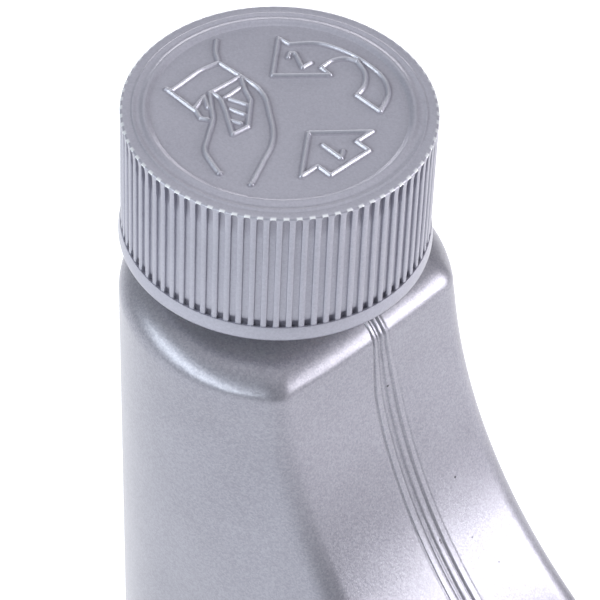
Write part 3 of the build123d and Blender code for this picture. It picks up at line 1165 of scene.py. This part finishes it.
def add_lamp(name, azimuth, rise, width, height, power, colour):
    """A rectangular soft light that faces the upper part of the bottle."""
    data = bpy.data.lights.new(name, "AREA")
    data.shape = "RECTANGLE"
    data.size = width
    data.size_y = height
    data.energy = power
    data.color = colour
    lamp = bpy.data.objects.new(name, data)
    bpy.context.scene.collection.objects.link(lamp)
    turn = radians(azimuth)
    lift = radians(rise)
    away = Vector((cos(lift) * cos(turn), cos(lift) * sin(turn), sin(lift)))
    lamp.location = Vector((neck_x * MM, 0.0, lamp_aim)) + lamp_distance * away
    lamp.rotation_euler = (-away).to_track_quat("-Z", "Y").to_euler()


def make_floor():
    """A pale floor that is white to the camera and in reflections, and keeps its shadows."""
    mesh = bpy.data.meshes.new("floor")
    corners = [(-1, -1), (1, -1), (1, 1), (-1, 1)]
    mesh.from_pydata([(x * floor_half, y * floor_half, 0.0) for x, y in corners], [], [(0, 1, 2, 3)])
    floor = bpy.data.objects.new("floor", mesh)
    bpy.context.scene.collection.objects.link(floor)
    nodes = Nodes("floor_white")
    nodes.set(Base_Color=(0.7, 0.7, 0.72, 1.0), Roughness=0.7, Emission_Color=(1.0, 1.0, 1.0, 1.0))
    rays = nodes.add("ShaderNodeLightPath")
    seen = maths(nodes, "MAXIMUM", rays.outputs["Is Camera Ray"], rays.outputs["Is Glossy Ray"])
    seen = maths(nodes, "MAXIMUM", seen, rays.outputs["Is Transmission Ray"])
    nodes.link(maths(nodes, "MULTIPLY", seen, floor_glow), nodes.shader.inputs["Emission Strength"])
    floor.data.materials.append(nodes.material)


def make_light():
    """Soft light all round, and the soft boxes."""
    world = bpy.data.worlds.new("studio")
    bpy.context.scene.world = world
    world.use_nodes = True
    background = world.node_tree.nodes["Background"]
    background.inputs["Color"].default_value = WORLD_COLOUR
    background.inputs["Strength"].default_value = world_strength
    for lamp in LAMPS:
        add_lamp(*lamp)


def make_camera():
    """The photograph's camera."""
    data = bpy.data.cameras.new("photo_camera")
    data.lens = camera_lens
    data.sensor_width = camera_sensor
    data.clip_start = 0.01
    data.clip_end = 20.0
    camera = bpy.data.objects.new("photo_camera", data)
    bpy.context.scene.collection.objects.link(camera)
    place = camera_place + Vector((neck_x, 0.0, total_height))
    turn = Matrix.Rotation(radians(camera_azimuth + 90), 4, "Z")
    tilt = Matrix.Rotation(radians(90 - camera_rise), 4, "X")
    roll = Matrix.Rotation(radians(camera_roll), 4, "Z")
    camera.matrix_world = Matrix.Translation(place * MM) @ turn @ tilt @ roll
    bpy.context.scene.camera = camera


make_camera()
make_floor()
make_light()
bpy.context.scene.view_settings.view_transform = "Standard"

body_pearl = pearl_plastic(
    "body_pearl",
    dark=(0.22, 0.216, 0.258), light=(0.375, 0.37, 0.425), metallic=0.48, roughness=0.35,
    coat=0.35, coat_roughness=0.22, grain=0.25, flake=0.35,
)
add_specks(body_pearl)
cap_pearl = pearl_plastic(
    "cap_pearl",
    dark=(0.3, 0.298, 0.36), light=(0.445, 0.442, 0.515), metallic=0.4, roughness=0.34,
    coat=0.4, coat_roughness=0.15, grain=0.2, flake=0.2,
)
mix_painted_light(cap_pearl)
natural = plain_plastic(
    "natural_plastic", dark=(0.78, 0.75, 0.68), light=(0.86, 0.83, 0.77), roughness=0.42, grain=0.2
)
natural.set(Subsurface_Weight=0.3, Subsurface_Scale=0.001)
foam = plain_plastic("liner_foam", dark=(0.82, 0.82, 0.79), light=(0.92, 0.92, 0.9), roughness=0.8, grain=0.6)

bottle = make_bottle()
dress(bottle, body_pearl.material, "bottle")
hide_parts("bottle", "bottle_neck")

shell = make_closure_shell()
dress(shell, cap_pearl.material, "outer_cap")
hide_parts("outer_cap")
for piece in (make_relief(), make_lugs()):
    dress(piece, cap_pearl.material, "outer_cap")

inner = make_inner_shell()
dress(inner, natural.material, "inner_cap")
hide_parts("inner_cap")
dress(make_teeth(), natural.material, "inner_cap")

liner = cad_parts["liner"]
liner.data.materials.clear()
liner.data.materials.append(foam.material)
